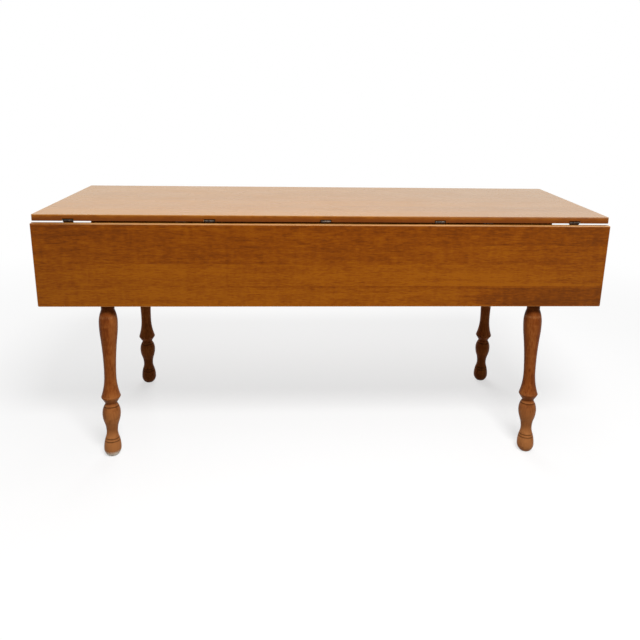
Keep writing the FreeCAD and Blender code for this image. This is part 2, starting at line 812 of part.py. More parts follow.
def make_guide(name, way, x):
    label = f"slide_guide_{name}"
    body = new_body(f"{label}_blank", (x, way * guide_middle, underside))
    room = cell("slide_room")
    half_guide = cell("guide_width") / 2
    half_groove = cell("slide_width") / 2 + room
    low = -cell("guide_height")
    floor = -cell("slide_thickness") - room * 2
    corners = [(-half_guide, low), (half_guide, low), (half_guide, 0), (half_groove, 0), (half_groove, floor),
               (-half_groove, floor), (-half_groove, 0), (-half_guide, 0)]
    pad(draw_outline(new_sketch(body, "section", "XZ_Plane"), corners), cell("guide_length"))
    return drill(label, body, guide_holes)


# The whole table

make_table_top()
for side, way in SIDES.items():
    make_leaf(side, way)
    make_long_apron(side, way)
    make_hinge_pins(side, way)
    for hand_name, hand in HANDS.items():
        make_leg(side, way, hand_name, hand)
        make_corner_block(side, way, hand_name, hand)
    for number, x in enumerate(HINGES, 1):
        make_top_plate(f"hinge_top_plate_{side}_{number}", way, x)
        make_leaf_plate(f"hinge_leaf_plate_{side}_{number}", way, x)
for hand_name, hand in HANDS.items():
    make_end_apron(hand_name, hand)
    make_cross_rail(hand_name, hand)
for name, way, x in slide_places():
    make_slide(name, way, x)
    make_peg(name, way, x)
    make_guide(name, way, x)
doc.recompute()

PIECES = ["table_top", "guide_screws", "corner_block_screws", "cross_rail_screws"]
for side in SIDES:
    PIECES += [f"{side}_leaf", f"apron_{side}", f"hinge_pins_{side}"]
    PIECES += [f"hinge_top_screws_{side}", f"hinge_leaf_screws_{side}"]
    PIECES += [f"hinge_{part}_plate_{side}_{number}" for part in ("top", "leaf")
               for number in range(1, len(HINGES) + 1)]
    for hand_name in HANDS:
        PIECES += [f"{part}_{side}_{hand_name}" for part in
                   ("leg", "corner_block", "leaf_slide", "slide_guide", "slide_peg")]
for hand_name in HANDS:
    PIECES += [f"apron_{hand_name}", f"cross_rail_{hand_name}"]

for item in doc.Objects:
    if "Invalid" in item.State or "Error" in item.State:
        raise RuntimeError(f"{item.Label} failed: {item.State}")
    if item.TypeId in ("PartDesign::Pocket", "PartDesign::Groove"):
        if item.Shape.Volume >= item.BaseFeature.Shape.Volume - LEAST_CUT:
            raise RuntimeError(f"{item.Label} cuts nothing")
shapes = {}
for label in PIECES:
    shape = doc.getObjectsByLabel(label)[0].Shape
    if shape.isNull() or not shape.isValid() or not shape.Solids:
        raise RuntimeError(f"{label} has no valid shape")
    solids = shape.Solids
    shapes[label] = solids[0] if len(solids) == 1 else Part.makeCompound(solids)

os.makedirs("parts", exist_ok=True)
for label, shape in shapes.items():
    shape.exportStep(f"parts/{label}.step")
print(len(shapes), "pieces,", sum(len(shape.Solids) for shape in shapes.values()), "solids")
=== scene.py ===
# %% [markdown]
# # A drop-leaf harvest table
# The table is a long maple panel on four turned legs, with a leaf hinged along each long edge. The packed
# model already has every board, hinge and screw at its real size, so this lesson gives those boards their
# wood and lacquer, makes the turned legs again as smooth surfaces, and sets up the studio that the table
# stands in. All lengths are in metres, X runs along the table, the front faces -Y, and the floor is at
# zero.

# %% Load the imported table
import json
import math

import bpy
import numpy as np
from mathutils import Matrix, Vector


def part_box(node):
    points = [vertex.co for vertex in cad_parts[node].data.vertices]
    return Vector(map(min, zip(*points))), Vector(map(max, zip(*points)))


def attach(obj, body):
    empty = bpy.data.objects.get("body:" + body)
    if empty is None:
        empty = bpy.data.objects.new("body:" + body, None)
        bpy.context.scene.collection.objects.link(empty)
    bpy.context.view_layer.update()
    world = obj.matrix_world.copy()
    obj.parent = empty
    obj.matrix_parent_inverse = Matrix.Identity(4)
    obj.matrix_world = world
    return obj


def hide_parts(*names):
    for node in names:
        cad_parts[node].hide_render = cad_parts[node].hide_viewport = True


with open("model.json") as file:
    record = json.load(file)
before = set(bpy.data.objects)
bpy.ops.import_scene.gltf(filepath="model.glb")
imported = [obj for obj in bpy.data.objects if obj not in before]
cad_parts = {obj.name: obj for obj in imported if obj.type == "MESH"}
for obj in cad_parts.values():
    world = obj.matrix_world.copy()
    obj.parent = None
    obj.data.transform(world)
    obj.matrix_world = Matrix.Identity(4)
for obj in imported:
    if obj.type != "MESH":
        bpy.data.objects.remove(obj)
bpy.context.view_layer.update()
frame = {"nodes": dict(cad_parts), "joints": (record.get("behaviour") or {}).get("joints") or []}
nodes = frame["nodes"]
scene = bpy.context.scene
MM = 0.001
WHITE = (1.0, 1.0, 1.0, 1.0)

# %% [markdown]
# ## The camera
# The photograph was taken a little left of the middle, from about standing height, looking slightly down.
# A camera could be placed by eye, but the corners of the top and the leaf fix it much better: position,
# the three angles and the focal length were solved so that those corners fall on their pixels. The
# photographer's frame was cropped lower than the lens axis, and the camera's shift stands for that crop.

# %% Place the camera
CAMERA_PLACE = Vector((-0.0920, -2.1205, 1.1234))
YAW, PITCH, ROLL = (math.radians(angle) for angle in (2.723, 11.225, 0.849))
IMAGE_SIDE = 640
FOCAL_PIXELS = 649.25
LENS_AXIS = (324.40, 217.40)
SENSOR = 36.0

forward = Vector((math.sin(YAW) * math.cos(PITCH), math.cos(YAW) * math.cos(PITCH), -math.sin(PITCH)))
level = Vector((math.cos(YAW), -math.sin(YAW), 0.0))
above = level.cross(forward)
right = level * math.cos(ROLL) + above * math.sin(ROLL)
up = above * math.cos(ROLL) - level * math.sin(ROLL)
turn = Matrix((right, up, -forward)).transposed().to_4x4()

camera_data = bpy.data.cameras.new("photographer")
camera_data.sensor_width = SENSOR
camera_data.lens = FOCAL_PIXELS / IMAGE_SIDE * SENSOR
camera_data.shift_x = (IMAGE_SIDE / 2 - LENS_AXIS[0]) / IMAGE_SIDE
camera_data.shift_y = (LENS_AXIS[1] - IMAGE_SIDE / 2) / IMAGE_SIDE
camera = bpy.data.objects.new("photographer", camera_data)
camera.matrix_world = Matrix.Translation(CAMERA_PLACE) @ turn
scene.collection.objects.link(camera)
scene.camera = camera
scene.view_settings.view_transform = "Standard"
shifts = [round(shift, 4) for shift in (camera_data.shift_x, camera_data.shift_y)]
print("lens:", round(camera_data.lens, 2), "mm, shift:", shifts)

# %% [markdown]
# ## Small helpers for node trees
# Every finish below is a graph of nodes. Writing each node and link by hand is long, so a few helpers do
# it. The first makes a node and connects or sets its inputs. The others use it for arithmetic, for taking
# a place apart and joining it again, for mixing colours, and for a noise that is stretched differently
# along each axis, because wood is long in one direction and fine in the other two.

# %% Node helpers
def add(tree, kind, inputs=None, **settings):
    """Make a node; an input given a socket is linked to it, and one given a value is set."""
    made = tree.nodes.new(kind)
    for name, value in settings.items():
        setattr(made, name, value)
    for key, value in (inputs or {}).items():
        if isinstance(value, bpy.types.NodeSocket):
            tree.links.new(value, made.inputs[key])
        else:
            made.inputs[key].default_value = value
    return made


def work(tree, operation, first, second=0.0, clamp=False):
    """One step of arithmetic on two numbers."""
    step = add(tree, "ShaderNodeMath", {0: first, 1: second}, operation=operation, use_clamp=clamp)
    return step.outputs[0]


def times(tree, first, second):
    """The product of two numbers."""
    return work(tree, "MULTIPLY", first, second)


def own_place(tree):
    """Where a point of the piece is, in the table's frame."""
    return add(tree, "ShaderNodeTexCoord").outputs["Object"]


def apart(tree, place):
    """The three coordinates of a place."""
    return add(tree, "ShaderNodeSeparateXYZ", {0: place}).outputs


def joined(tree, x, y, z=0.0):
    """The place with three coordinates."""
    return add(tree, "ShaderNodeCombineXYZ", {"X": x, "Y": y, "Z": z}).outputs[0]


def mixed(tree, share, first, second):
    """A colour that goes from the first to the second as the share goes from 0 to 1."""
    made = add(tree, "ShaderNodeMix", {"Factor": share, "A": first, "B": second}, data_type="RGBA")
    return made.outputs["Result"]


def stretched_noise(tree, place, stretch, detail=2.0, rough=0.5, warp=0.0):
    """Noise of the place, after each coordinate is multiplied by its own count per metre. Its average is
    about 0.5."""
    scaled = add(tree, "ShaderNodeVectorMath", {0: place, 1: stretch}, operation="MULTIPLY").outputs[0]
    noise = add(tree, "ShaderNodeTexNoise", {"Vector": scaled, "Scale": 1.0, "Detail": detail,
                                             "Roughness": rough, "Distortion": warp})
    return noise.outputs["Fac"]


def centred(tree, value, amount):
    """A value around 0.5, moved to be around zero and multiplied by an amount."""
    return times(tree, work(tree, "SUBTRACT", value, 0.5), amount)


def fade(tree, value, start, end):
    """Smooth step of a value: 0 at start and 1 at end."""
    return add(tree, "ShaderNodeMapRange", {"Value": value, "From Min": start, "From Max": end},
               interpolation_type="SMOOTHSTEP").outputs["Result"]


def new_group(name, sockets_in, sockets_out):
    """An empty node group with named sockets, given as name: (kind, default)."""
    group = bpy.data.node_groups.new(name, "ShaderNodeTree")
    for label, (kind, default) in sockets_in.items():
        socket = group.interface.new_socket(label, in_out="INPUT", socket_type=f"NodeSocket{kind}")
        if default is not None:
            socket.default_value = default
    for label, kind in sockets_out.items():
        group.interface.new_socket(label, in_out="OUTPUT", socket_type=f"NodeSocket{kind}")
    return group, add(group, "NodeGroupInput").outputs, add(group, "NodeGroupOutput")


def use_group(tree, group, inputs):
    """A group placed in a tree, with its inputs linked or set; gives its outputs."""
    return add(tree, "ShaderNodeGroup", inputs, node_tree=group).outputs


# %% [markdown]
# ## Maple: boards, streaks, fibres and curl
# A wide panel is glued up from narrow boards, so its tone steps a little from board to board, with a thin
# line at each glue joint. Inside a board there are long soft streaks, fine fibres along the grain and, in
# maple, faint bands of curl across it. A painted picture could show one board, but a solid pattern that
# is worked out in three dimensions also turns the corner onto edges and follows the swell of a turned
# leg, so the group is made of stretched noises. It reads a place whose first coordinate runs along the
# grain and gives a tone and masks.

# %% The maple pattern
FAR_ALONG, FAR_THROUGH = 9.0, 2.0
WIDTH_CHANCE, SEAM_SHARE = 0.45, 0.012
DASH_RANGE = (0.58, 0.74)
SPECK_PART, FIBRE_PART = 3.0, 1.5
LAYERS = {
    "drift": {"stretch": (1.3, 6.0, 6.0), "detail": 1.0},
    "streak": {"stretch": (1.9, 46.0, 46.0), "detail": 4.0, "rough": 0.6, "warp": 0.5},
    "mottle": {"stretch": (14.0, 48.0, 48.0), "detail": 3.0, "rough": 0.6, "warp": 0.6},
    "curl": {"stretch": (50.0, 10.0, 10.0), "warp": 0.8},
    "dashes": {"stretch": (20.0, 230.0, 230.0), "rough": 0.6},
    "specks": {"stretch": (60.0, 260.0, 260.0), "rough": 0.6},
    "fibre": {"stretch": (14.0, 620.0, 620.0), "detail": 3.0, "rough": 0.6}}

maple, given, result = new_group(
    "maple_pattern",
    {"Place": ("Vector", None), "Board Width": ("Float", 0.056), "Board Spread": ("Float", 0.3),
     "Streak": ("Float", 0.6), "Curl": ("Float", 0.25), "Fleck": ("Float", 0.15)},
    {"Tone": "Float", "Seam": "Float", "Fibre": "Float"})
spot = apart(maple, given["Place"])
boards = {"W": work(maple, "DIVIDE", spot["Y"], given["Board Width"]), "Scale": 1.0,
          "Randomness": WIDTH_CHANCE}
which = add(maple, "ShaderNodeTexVoronoi", boards, voronoi_dimensions="1D").outputs["Color"]
joint = add(maple, "ShaderNodeTexVoronoi", boards, voronoi_dimensions="1D",
            feature="DISTANCE_TO_EDGE").outputs["Distance"]
lots = add(maple, "ShaderNodeSeparateColor", {0: which}).outputs
shifted = joined(maple, work(maple, "ADD", spot["X"], times(maple, lots[0], FAR_ALONG)), spot["Y"],
                 work(maple, "ADD", spot["Z"], times(maple, lots[1], FAR_THROUGH)))
layers = {name: stretched_noise(maple, shifted, **values) for name, values in LAYERS.items()}

uneven = times(maple, times(maple, layers["drift"], 2.0), given["Board Spread"])
tone = work(maple, "ADD", 0.5, times(maple, work(maple, "SUBTRACT", lots[2], 0.5), uneven))
amounts = {"streak": given["Streak"], "mottle": given["Streak"], "drift": given["Streak"],
           "curl": given["Curl"], "specks": times(maple, given["Fleck"], SPECK_PART),
           "fibre": times(maple, given["Fleck"], FIBRE_PART)}
for name, amount in amounts.items():
    tone = work(maple, "ADD", tone, centred(maple, layers[name], amount))
dashes = times(maple, fade(maple, layers["dashes"], *DASH_RANGE), given["Fleck"])
maple.links.new(work(maple, "SUBTRACT", tone, dashes), result.inputs["Tone"])
maple.links.new(fade(maple, joint, SEAM_SHARE, 0.0), result.inputs["Seam"])
maple.links.new(layers["fibre"], result.inputs["Fibre"])
print("maple pattern:", len(maple.nodes), "nodes")

# %% [markdown]
# ## The satin lacquer
# Old lacquer isn't one gloss all over: hands polish some places, cleaning dulls others, and fine
# scratches run mostly along the grain. The lacquer also has a skin that is not quite flat. This group
# turns a place into a roughness and a height for all the lacquered pieces, and each piece chooses how
# dull it is.

# %% The lacquer's skin
SMEAR_STRETCH, SCRATCH_STRETCH, RIPPLE_STRETCH = (5.0, 11.0, 11.0), (6.0, 900.0, 900.0), (16.0, 28.0, 28.0)
SCRATCH_RANGE = (0.62, 0.75)
FIBRE_RELIEF, RIPPLE_RELIEF = 0.25, 0.75

lacquer, given, result = new_group(
    "lacquer_skin",
    {"Place": ("Vector", None), "Fibre": ("Float", 0.5), "Dullness": ("Float", 0.3),
     "Scuffs": ("Float", 0.1)},
    {"Roughness": "Float", "Height": "Float"})
smear = stretched_noise(lacquer, given["Place"], SMEAR_STRETCH, detail=3.0, rough=0.6)
scratch = stretched_noise(lacquer, given["Place"], SCRATCH_STRETCH, detail=1.0)
ripple = stretched_noise(lacquer, given["Place"], RIPPLE_STRETCH)
smeared = times(lacquer, centred(lacquer, smear, 2.0), given["Scuffs"])
scratched = times(lacquer, fade(lacquer, scratch, *SCRATCH_RANGE), given["Scuffs"])
dull = work(lacquer, "ADD", work(lacquer, "ADD", given["Dullness"], smeared), scratched, clamp=True)
height = work(lacquer, "ADD", times(lacquer, given["Fibre"], FIBRE_RELIEF),
              times(lacquer, ripple, RIPPLE_RELIEF))
lacquer.links.new(dull, result.inputs["Roughness"])
lacquer.links.new(height, result.inputs["Height"])
print("lacquer skin:", len(lacquer.nodes), "nodes")

# %% [markdown]
# ## Rubbed arrises, with a painted highlight
# Where two faces of a board meet, the lacquer rubs thin first, and the rounded arris catches the light, so
# this mask lightens an arris both as wear and as a painted highlight. A board is a box, so the arris is
# where two of the three distances to its faces are small at once: the second smallest distance is the one
# to test. A noise breaks the line up, because wear is never even.

# %% The rubbed arris mask, with its painted highlight
WEAR_STRETCH = (35.0, 35.0, 35.0)

arris, given, result = new_group(
    "rubbed_and_highlit_arris",
    {"Place": ("Vector", None), "Half Size": ("Vector", None), "Width": ("Float", 0.004)},
    {"Mask": "Float"})
from_middle = add(arris, "ShaderNodeVectorMath", {0: given["Place"]}, operation="ABSOLUTE").outputs[0]
to_faces = add(arris, "ShaderNodeVectorMath", {0: given["Half Size"], 1: from_middle},
               operation="SUBTRACT").outputs[0]
gaps = apart(arris, to_faces)
lesser = work(arris, "MINIMUM", gaps["X"], gaps["Y"])
greater = work(arris, "MAXIMUM", gaps["X"], gaps["Y"])
second = work(arris, "MAXIMUM", lesser, work(arris, "MINIMUM", greater, gaps["Z"]))
uneven = stretched_noise(arris, given["Place"], WEAR_STRETCH, detail=3.0, rough=0.65)
reach = times(arris, given["Width"], times(arris, uneven, 2.0))
rubbed_and_highlit = work(arris, "SUBTRACT", 1.0, work(arris, "DIVIDE", second, reach), clamp=True)
arris.links.new(rubbed_and_highlit, result.inputs["Mask"])
print("rubbed arris:", len(arris.nodes), "nodes")

# %% [markdown]
# ## Lacquered maple
# All the show wood has one recipe: the maple pattern picks a colour between a dark red-brown and a light
# amber, the glue joints darken it, the rubbed places and the painted highlights lighten it, and the
# lacquer's skin gives its gloss.
# The lacquer is thin and amber, so what it mirrors face on is faint and warm, and only a flat glance
# along it turns it pale. One function builds the recipe, and each piece gives it the direction of its
# grain and its own values. The panels also carry old polish: a warm bloom, and a wax on the outer face
# that is so thin that it mirrors only at a flat glance.

# %% Lacquered maple
DARK_AMBER = (0.140, 0.026, 0.0014, 1.0)
MIDDLE_AMBER = (0.242, 0.057, 0.0020, 1.0)
LIGHT_AMBER = (0.345, 0.105, 0.0060, 1.0)
AMBERS = (DARK_AMBER, MIDDLE_AMBER, LIGHT_AMBER)
LACQUER_WARMTH = (1.0, 0.55, 0.14, 1.0)
DARK_STOP, MIDDLE_STOP, LIGHT_STOP = 0.22, 0.5, 0.80
SCUFFS = 0.12
HAZE_ROUGHNESS, WAX_ROUGHNESS, WAX_DENSITY = 0.5, 0.22, 1.12
WAXED_FACE = (0.0078, 0.0092)


def new_material(name):
    """A material with its node tree and its shader."""
    made = bpy.data.materials.new(name)
    made.use_nodes = True
    return made, made.node_tree, made.node_tree.nodes["Principled BSDF"]


def dress(names, finish):
    """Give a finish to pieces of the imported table, in the slots that they already have."""
    for name in names:
        for slot in nodes[name].material_slots:
            slot.material = finish


def amber_ramp(tree, tone, colours):
    """Colour for a tone: the three colours at the dark, the middle and the light stop."""
    ramp = add(tree, "ShaderNodeValToRGB", {"Fac": tone})
    stops = ramp.color_ramp.elements
    stops[0].position, stops[1].position = DARK_STOP, LIGHT_STOP
    middle = stops.new(MIDDLE_STOP)
    for stop, colour in zip((stops[0], middle, stops[-1]), colours):
        stop.color = colour
    return ramp.outputs["Color"]


def dress_maple(tree, shader, place, wear_and_highlight, colours, worn_and_lit, board, spread, streak, curl, dullness, fleck=0.15,
                seam=0.30, lift=0.0, bump=0.05 * MM, ior=1.30, warmth=LACQUER_WARMTH):
    """Join the maple pattern, the wear with its painted highlight and the lacquer's skin to the shader of
    one piece, and give the grain. The lift is added to the tone, so that a place is lighter or darker and
    keeps its grain."""
    grain = use_group(tree, maple, {"Place": place, "Board Width": board, "Board Spread": spread,
                                    "Streak": streak, "Curl": curl, "Fleck": fleck})
    colour = amber_ramp(tree, work(tree, "ADD", grain["Tone"], lift), colours)
    colour = mixed(tree, times(tree, grain["Seam"], seam), colour, colours[0])
    colour = mixed(tree, wear_and_highlight, colour, worn_and_lit)
    skin = use_group(tree, lacquer, {"Place": place, "Fibre": grain["Fibre"], "Dullness": dullness,
                                     "Scuffs": SCUFFS})
    tree.links.new(colour, shader.inputs["Base Color"])
    tree.links.new(skin["Roughness"], shader.inputs["Roughness"])
    relief = add(tree, "ShaderNodeBump", {"Height": skin["Height"], "Distance": bump, "Strength": 1.0})
    tree.links.new(relief.outputs["Normal"], shader.inputs["Normal"])
    shader.inputs["IOR"].default_value = ior
    shader.inputs["Specular Tint"].default_value = warmth
    return grain


def repaint(tree, shader, share, colour):
    """Lay a colour over the shader's present base colour, by a share of 0 to 1."""
    before = shader.inputs["Base Color"].links[0].from_socket
    tree.links.new(mixed(tree, share, before, colour), shader.inputs["Base Color"])


def add_polish(tree, shader, height, haze, tint):
    """Old polish on a panel: a warm haze all over, and a thin wax on the outer face, which is found by the
    height over the panel's middle plane."""
    for name, value in (("Sheen Weight", haze), ("Sheen Roughness", HAZE_ROUGHNESS), ("Sheen Tint", tint),
                        ("Coat Roughness", WAX_ROUGHNESS), ("Coat IOR", WAX_DENSITY)):
        shader.inputs[name].default_value = value
    tree.links.new(fade(tree, height, *WAXED_FACE), shader.inputs["Coat Weight"])


print("lacquered maple is ready")

# %% [markdown]
# ## The top
# The top has had the most sun and the most wiping, so its maple is a little lighter and yellower than the
# leaves. Its grain runs along X and its boards lie side by side along Y, so the place needs no turning,
# only moving to the middle of the panel. The sun reached only the upper face: the edges keep the amber of
# the leaves, so the faded colour gives way to it within a few millimetres below that face, and below that
# the edges darken towards their bottom as painted shade. The right end is greyer, partly from sun
# bleaching and partly as a painted reflection of glare, and the top is lighter at the front and darker
# towards the rear. The hinge notches are cut in the model already.

# %% The top's finish
TOP_COLOURS = ((0.185, 0.038, 0.0015, 1.0), (0.262, 0.068, 0.0025, 1.0), (0.35, 0.106, 0.0060, 1.0))
# The worn colour also paints a highlight on the arrises, and the greyer colour is sun bleaching with a
# painted reflection of glare.
TOP_WORN_AND_LIT, BLEACH_AND_GLARE = (0.62, 0.36, 0.13, 1.0), (0.14, 0.092, 0.105, 1.0)
TOP_HAZE, TOP_HAZE_TINT = 0.8, (1.0, 0.66, 0.30, 1.0)
TOP_ARRIS, TOP_ARRIS_SHARE = 0.0035, 0.4
FRONT_LIFT, REAR_DROP, FRONT_TO_REAR = 0.16, 0.48, (-0.32, 0.32)
# The right end is greyer: sun bleaching and a painted reflection of glare.
GREYER_END, BLEACH_AND_GLARE_SHARE = (-0.12, 0.64), 0.38
# The last range and share darken the edges towards their bottom, as painted shade.
BELOW_FACE, DOWN_EDGE, EDGE_SHADE_SHARE = (0.0084, 0.0040), (0.0075, -0.0050), 0.9

low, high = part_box("table_top")
top_middle = (low + high) / 2
top_half = (high - low) / 2
top_finish, tree, shader = new_material("top_maple")
place = add(tree, "ShaderNodeMapping", {"Vector": own_place(tree), "Location": top_middle},
            vector_type="TEXTURE").outputs[0]
inside = apart(tree, place)
# The arris mask lightens the top's arrises as wear and as a painted highlight.
wear_and_highlight = use_group(tree, arris, {"Place": place, "Half Size": top_half, "Width": TOP_ARRIS})["Mask"]
# The tone is lighter at the front of the top and darker towards the rear.
rearward = times(tree, fade(tree, inside["Y"], *FRONT_TO_REAR), REAR_DROP)
grain = dress_maple(tree, shader, place, times(tree, wear_and_highlight, TOP_ARRIS_SHARE), TOP_COLOURS, TOP_WORN_AND_LIT,
                    board=0.078, spread=0.22, streak=0.55, curl=0.28, fleck=0.18, dullness=0.28,
                    lift=work(tree, "SUBTRACT", FRONT_LIFT, rearward), bump=0.005 * MM, ior=1.34)
add_polish(tree, shader, inside["Z"], TOP_HAZE, TOP_HAZE_TINT)
# Sun bleaching and a painted reflection of glare: the right end is laid over with a greyer colour.
repaint(tree, shader, times(tree, fade(tree, inside["X"], *GREYER_END), BLEACH_AND_GLARE_SHARE), BLEACH_AND_GLARE)
repaint(tree, shader, fade(tree, inside["Z"], *BELOW_FACE), amber_ramp(tree, grain["Tone"], AMBERS))
# Painted shade: the edges of the top darken towards their bottom.
repaint(tree, shader, times(tree, fade(tree, inside["Z"], *DOWN_EDGE), EDGE_SHADE_SHARE), DARK_AMBER)
dress(("table_top",), top_finish)
print("top:", [round(2 * number, 4) for number in top_half])

# %% [markdown]
# ## The leaves
# A leaf hangs a few degrees past plumb, so its pattern is worked out in the leaf's own directions: along
# the table, across the leaf and through its thickness. The hinge in the frame says where the leaf turns
# and how far it hangs. The two leaves are mirror images, so the depth coordinate is folded onto the front
# side first, and the rear leaf is pushed along the grain to get boards of its own.

# %% Where a leaf is
hinge = next(joint for joint in frame["joints"] if joint["name"] == "front_leaf_hinge")
PIN = Vector(hinge["pos_m"])
HANG = math.radians(hinge["range_deg"][1])
LEAF_HALF = Vector((0.8382, 0.126, 0.0095))
LEAF_FROM_PIN = Vector((0.0, -0.1318, 0.0085))
REAR_PUSH, BOARD_PUSH = 3.7, -0.0265

leaf_middle = PIN + Matrix.Rotation(HANG, 3, "X") @ LEAF_FROM_PIN
leaf_finish, tree, shader = new_material("leaf_maple")
parts = apart(tree, own_place(tree))
folded = joined(tree, parts["X"], times(tree, work(tree, "ABSOLUTE", parts["Y"]), -1.0), parts["Z"])
square = add(tree, "ShaderNodeMapping",
             {"Vector": folded, "Location": leaf_middle, "Rotation": (HANG, 0.0, 0.0)},
             vector_type="TEXTURE").outputs[0]
push = joined(tree, times(tree, work(tree, "GREATER_THAN", parts["Y"], 0.0), REAR_PUSH), BOARD_PUSH)
place = add(tree, "ShaderNodeVectorMath", {0: square, 1: push}, operation="ADD").outputs[0]
inside = apart(tree, square)
print("leaf middle:", [round(number, 4) for number in leaf_middle])

# %% [markdown]
# The edge at the hinges faces up when the leaf hangs, so its outer half carries a painted highlight, in
# patches, for the light from above that catches it, while the inner half lies in the top's shadow. A leaf
# is painted a little lighter towards its rim, as painted light, and darker towards its ends, as painted
# shade, and the outer board of the front leaf turns to dark heartwood at the right. These could be painted
# by hand, but masks made from distances in the leaf fit both leaves, and they move with them.

# %% The leaves' wear and tone
LEAF_ARRIS, LEAF_ARRIS_SHARE = 0.003, 0.30
# The edge at the hinges takes a painted highlight, in patches, fading out at the left end.
HINGE_EDGE, OUTER_HALF, LEDGE_FADING_END = (0.1248, 0.1260), (-0.0050, 0.0030), (-0.84, -0.60)
LEDGE_LIGHT_LEAST, LEDGE_LIGHT_REST = 0.55, 0.45
PATCH_STRETCH, PATCH_RANGE = (4.5, 40.0, 40.0), (0.30, 0.62)
OUTER_BOARD, HEART_RANGE = (-0.0645, -0.0670), (0.43, 0.53)
RAGGED_STRETCH, RAGGED_REACH = (5.0, 45.0, 45.0), 0.3
HINGE_TO_RIM, NEAR_ENDS = (0.11, -0.11), (0.42, 0.90)
# The rim's lift is painted light and the ends' lift is painted shade; the board and heartwood lifts are the
# wood's own tone.
RIM_LIGHT_LIFT, BOARD_LIFT, END_SHADE_LIFT, HEART_LIFT = 0.20, 0.07, -0.10, -0.26

wear_and_highlight = use_group(tree, arris, {"Place": square, "Half Size": LEAF_HALF, "Width": LEAF_ARRIS})["Mask"]
# Painted highlight: the outer half of the edge at the hinges is lightened in patches, as light from above
# catches it.
upper_edge = times(tree, fade(tree, inside["Y"], *HINGE_EDGE), fade(tree, inside["Z"], *OUTER_HALF))
patchy = fade(tree, stretched_noise(tree, place, PATCH_STRETCH), *PATCH_RANGE)
ledge_light = work(tree, "ADD", LEDGE_LIGHT_LEAST, times(tree, patchy, LEDGE_LIGHT_REST))
ledge_light = times(tree, ledge_light, fade(tree, inside["X"], *LEDGE_FADING_END))
wear_and_highlight = work(tree, "MAXIMUM", times(tree, wear_and_highlight, LEAF_ARRIS_SHARE), times(tree, upper_edge, ledge_light))

ragged = centred(tree, stretched_noise(tree, place, RAGGED_STRETCH, detail=3.0), RAGGED_REACH)
outer_board = fade(tree, inside["Y"], *OUTER_BOARD)
heart = times(tree, fade(tree, work(tree, "ADD", inside["X"], ragged), *HEART_RANGE), outer_board)
heart = times(tree, heart, work(tree, "LESS_THAN", parts["Y"], 0.0))
# Painted shade darkens the leaf towards its ends, and painted light lightens it towards its rim.
shaded_ends = fade(tree, work(tree, "ABSOLUTE", inside["X"]), *NEAR_ENDS)
lift = times(tree, fade(tree, inside["Y"], *HINGE_TO_RIM), RIM_LIGHT_LIFT)
for mask, amount in ((outer_board, BOARD_LIFT), (shaded_ends, END_SHADE_LIFT), (heart, HEART_LIFT)):
    lift = work(tree, "ADD", lift, times(tree, mask, amount))
print("leaf masks:", len(tree.nodes), "nodes")

# %% The leaves' finish
LEAF_COLOURS = ((0.124, 0.018, 0.0003, 1.0), (0.228, 0.045, 0.0005, 1.0), (0.334, 0.088, 0.0020, 1.0))
# The worn colour also stands for the painted highlights on the arrises and the upper edge.
LEAF_WORN_AND_LIT, LEAF_WARMTH = (0.58, 0.32, 0.15, 1.0), (0.454, 0.235, 0.020, 1.0)
LEAF_HAZE, LEAF_HAZE_TINT = 0.5, (1.0, 0.60, 0.08, 1.0)
dress_maple(tree, shader, place, wear_and_highlight, LEAF_COLOURS, LEAF_WORN_AND_LIT, board=0.060, spread=0.14, streak=0.48,
            curl=0.28, fleck=0.22, dullness=0.36, seam=0.12, lift=lift, ior=1.48, warmth=LEAF_WARMTH)
add_polish(tree, shader, inside["Z"], LEAF_HAZE, LEAF_HAZE_TINT)
dress(("front_leaf", "rear_leaf"), leaf_finish)
print("leaf finish:", len(tree.nodes), "nodes")

# %% [markdown]
# ## The turned legs
# Each leg starts as a square post and is turned on a lathe below it: a long vase, a flared lip, a bulb
# and a ball foot, with incised rings. On the lathe that is a profile carried round an axis, and so it is
# here: the radius is a function of height and angle. The profile is a chain of arcs between the widest
# and narrowest places, each given as a radius and a height in millimetres. The square post is the same
# kind of function, only with a radius that depends on the angle as well.

# %% The turned profile
FOOT, ANKLE, BULB, WAIST = (25.8, 23.5), (16.8, 78.0), (27.0, 137.0), (16.7, 169.0)
FLARE, SHAFT, VASE, NECK = (29.1, 189.5), (17.7, 258.0), (27.4, 424.0), (19.5, 464.0)
COLLAR, BEAD_TOP, SPINDLE = (22.0, 496.0), (22.0, 516.0), (24.0, 560.0)
FOOT_TRIM, FOOT_UNDER, LIP_ROUND, BEAD_RADIUS = 4.0, 30.0, 4.0, 16.8
FOOT_SWELL, BULB_SWELL, VASE_SWELL = 0.68, 0.5, 0.27
ARC_POINTS, LIP_POINTS = 18, 7


def sweep_radius(wide, narrow):
    """Radius of the arc that is upright at one place and passes through the other: chord squared over twice
    its sideways part."""
    across, along = wide[0] - narrow[0], wide[1] - narrow[1]
    return (across ** 2 + along ** 2) / (2 * across)


def arc(start, end, radius, side, count=ARC_POINTS):
    """Points on the arc from start to end. Its centre is on the chord's middle line, to the left of the way
    for side 1 and to the right for side -1."""
    start, end = np.array(start), np.array(end)
    chord = end - start
    left = np.array((-chord[1], chord[0])) / np.hypot(*chord)
    centre = (start + end) / 2 + left * side * math.sqrt(radius ** 2 - chord @ chord / 4)
    first = math.atan2(*(start - centre)[::-1])
    sweep = side * ((side * (math.atan2(*(end - centre)[::-1]) - first)) % (2 * math.pi))
    angles = first + sweep * np.linspace(0, 1, count)
    return centre + radius * np.stack((np.cos(angles), np.sin(angles)), axis=1)


